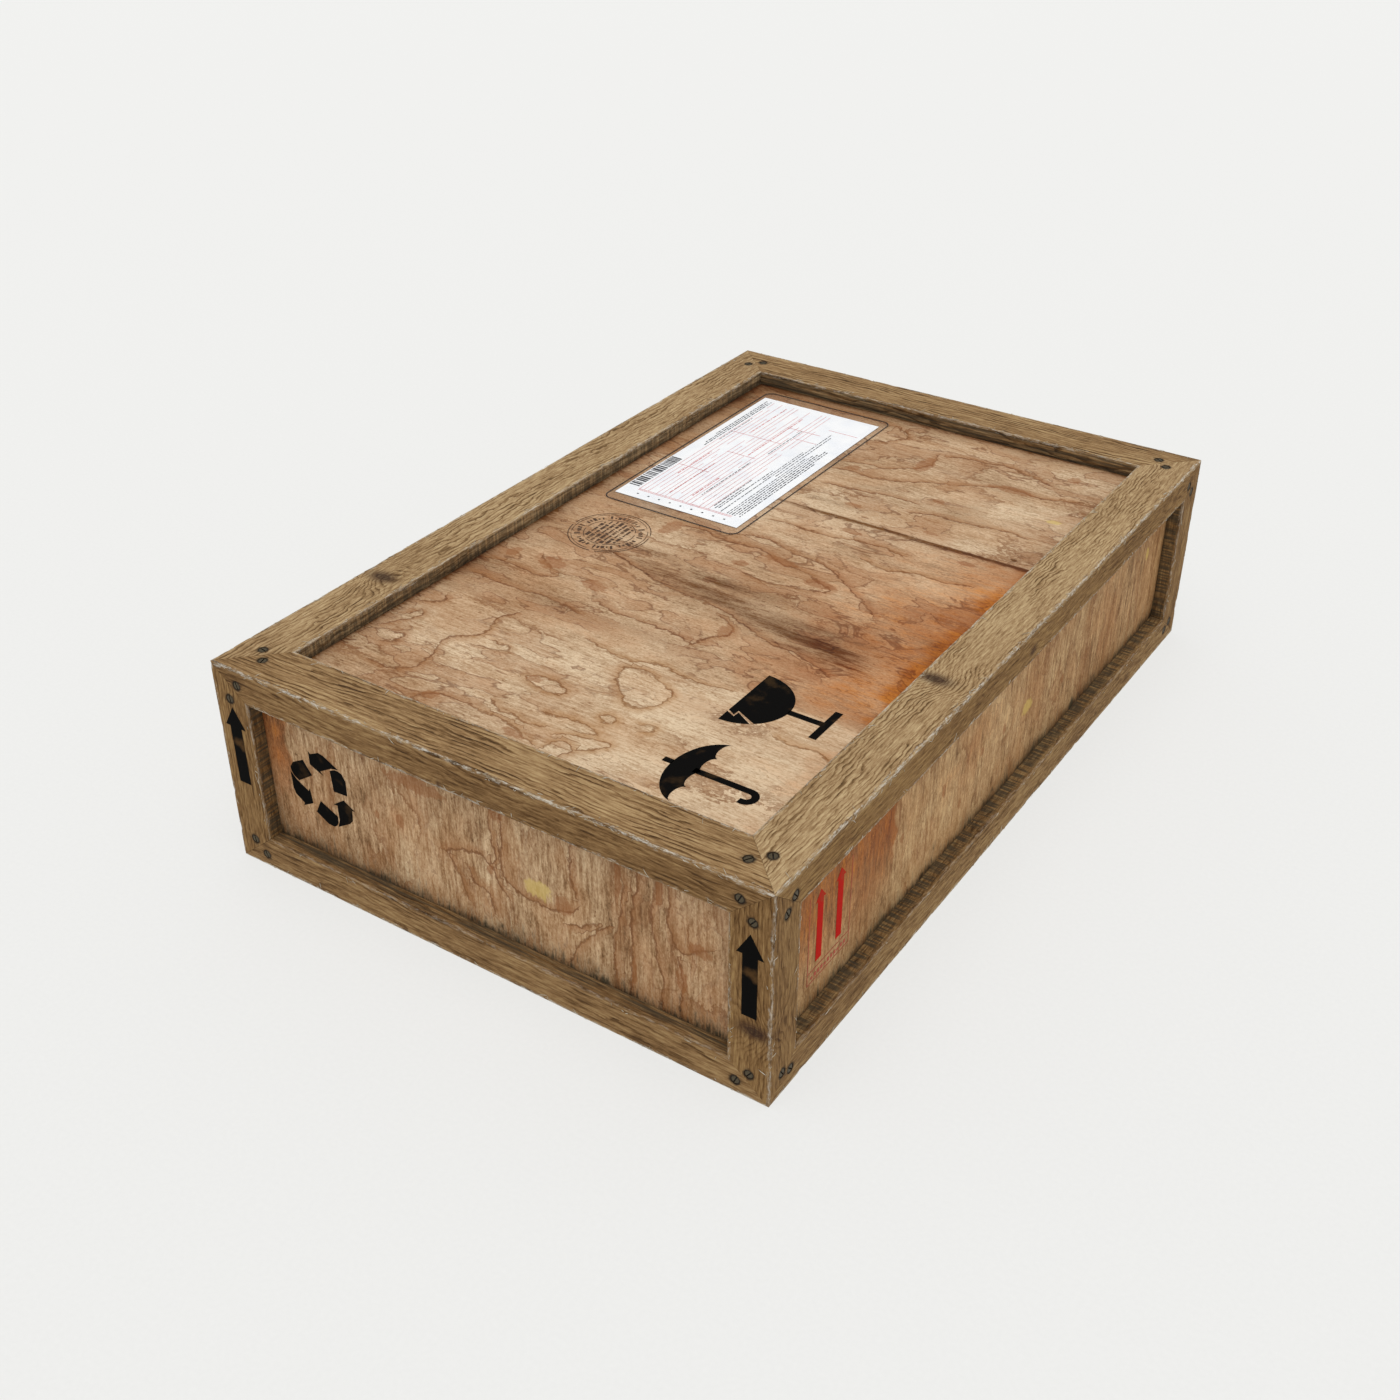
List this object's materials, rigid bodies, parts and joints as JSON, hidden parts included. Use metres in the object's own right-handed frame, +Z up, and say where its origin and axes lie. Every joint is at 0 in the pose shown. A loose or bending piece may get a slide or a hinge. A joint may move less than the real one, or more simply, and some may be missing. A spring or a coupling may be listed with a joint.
{
  "type": "shipping crate",
  "caption": "Flat wooden shipping crate with mitred timber frames, recessed plywood panels, a screwed lift-off lid, handling marks and a label pocket.",
  "frame": {"origin": "centre of the footprint, on the ground plane", "axes": "+Z up, +Y along the long side towards the back, +X to the right along the short side"},
  "size_m": [0.79, 1.2, 0.292],
  "materials": {
    "timber": "weathered, rough sawn, unvarnished",
    "plywood": "stained rotary-cut plywood, unvarnished",
    "screw_steel": "dull, slightly rusted",
    "label_paper": "matt paper",
    "pocket_film": "clear glossy film"
  },
  "bodies": {
    "crate": {"base_rail_front": "timber", "base_rail_back": "timber", "base_rail_left": "timber", "base_rail_right": "timber", "post_front_left": "timber", "post_front_right": "timber", "post_back_left": "timber", "post_back_right": "timber", "wall_panel_front": "plywood", "wall_panel_back": "plywood", "wall_panel_left": "plywood", "wall_panel_right": "plywood", "base_panel": "plywood", "post_top_screw_front_left_end": "screw_steel", "post_top_screw_front_left_side": "screw_steel", "post_top_screw_front_right_end": "screw_steel", "post_top_screw_front_right_side": "screw_steel", "post_top_screw_back_left_end": "screw_steel", "post_top_screw_back_left_side": "screw_steel", "post_top_screw_back_right_end": "screw_steel", "post_top_screw_back_right_side": "screw_steel", "post_bottom_screw_front_left_end": "screw_steel", "post_bottom_screw_front_left_side": "screw_steel", "post_bottom_screw_front_right_end": "screw_steel", "post_bottom_screw_front_right_side": "screw_steel", "post_bottom_screw_back_left_end": "screw_steel", "post_bottom_screw_back_left_side": "screw_steel", "post_bottom_screw_back_right_end": "screw_steel", "post_bottom_screw_back_right_side": "screw_steel", "base_corner_screw_front_left_end": "screw_steel", "base_corner_screw_front_left_side": "screw_steel", "base_corner_screw_front_right_end": "screw_steel", "base_corner_screw_front_right_side": "screw_steel", "base_corner_screw_back_left_end": "screw_steel", "base_corner_screw_back_left_side": "screw_steel", "base_corner_screw_back_right_end": "screw_steel", "base_corner_screw_back_right_side": "screw_steel"},
    "lid": {"lid_rail_front": "timber", "lid_rail_back": "timber", "lid_rail_left": "timber", "lid_rail_right": "timber", "lid_panel": "plywood", "label": "label_paper", "label_pocket": "pocket_film", "lid_corner_screw_front_left_end": "screw_steel", "lid_corner_screw_front_left_side": "screw_steel", "lid_corner_screw_front_right_end": "screw_steel", "lid_corner_screw_front_right_side": "screw_steel", "lid_corner_screw_back_left_end": "screw_steel", "lid_corner_screw_back_left_side": "screw_steel", "lid_corner_screw_back_right_end": "screw_steel", "lid_corner_screw_back_right_side": "screw_steel"},
    "lid_screw_front_left_end_body": {"lid_screw_front_left_end": "screw_steel"},
    "lid_screw_front_left_side_body": {"lid_screw_front_left_side": "screw_steel"},
    "lid_screw_front_right_end_body": {"lid_screw_front_right_end": "screw_steel"},
    "lid_screw_front_right_side_body": {"lid_screw_front_right_side": "screw_steel"},
    "lid_screw_back_left_end_body": {"lid_screw_back_left_end": "screw_steel"},
    "lid_screw_back_left_side_body": {"lid_screw_back_left_side": "screw_steel"},
    "lid_screw_back_right_end_body": {"lid_screw_back_right_end": "screw_steel"},
    "lid_screw_back_right_side_body": {"lid_screw_back_right_side": "screw_steel"}
  },
  "joints": [
    {"name": "lid_lift", "type": "slide", "parent": "crate", "child": "lid", "axis": [0, 0, 1], "range_m": [0, 0.25]},
    {"name": "lid_screw_front_left_end_out", "type": "slide", "parent": "lid", "child": "lid_screw_front_left_end_body", "axis": [0, 0, 1], "range_m": [0, 0.075]},
    {"name": "lid_screw_front_left_side_out", "type": "slide", "parent": "lid", "child": "lid_screw_front_left_side_body", "axis": [0, 0, 1], "range_m": [0, 0.075]},
    {"name": "lid_screw_front_right_end_out", "type": "slide", "parent": "lid", "child": "lid_screw_front_right_end_body", "axis": [0, 0, 1], "range_m": [0, 0.075]},
    {"name": "lid_screw_front_right_side_out", "type": "slide", "parent": "lid", "child": "lid_screw_front_right_side_body", "axis": [0, 0, 1], "range_m": [0, 0.075]},
    {"name": "lid_screw_back_left_end_out", "type": "slide", "parent": "lid", "child": "lid_screw_back_left_end_body", "axis": [0, 0, 1], "range_m": [0, 0.075]},
    {"name": "lid_screw_back_left_side_out", "type": "slide", "parent": "lid", "child": "lid_screw_back_left_side_body", "axis": [0, 0, 1], "range_m": [0, 0.075]},
    {"name": "lid_screw_back_right_end_out", "type": "slide", "parent": "lid", "child": "lid_screw_back_right_end_body", "axis": [0, 0, 1], "range_m": [0, 0.075]},
    {"name": "lid_screw_back_right_side_out", "type": "slide", "parent": "lid", "child": "lid_screw_back_right_side_body", "axis": [0, 0, 1], "range_m": [0, 0.075]}
  ]
}
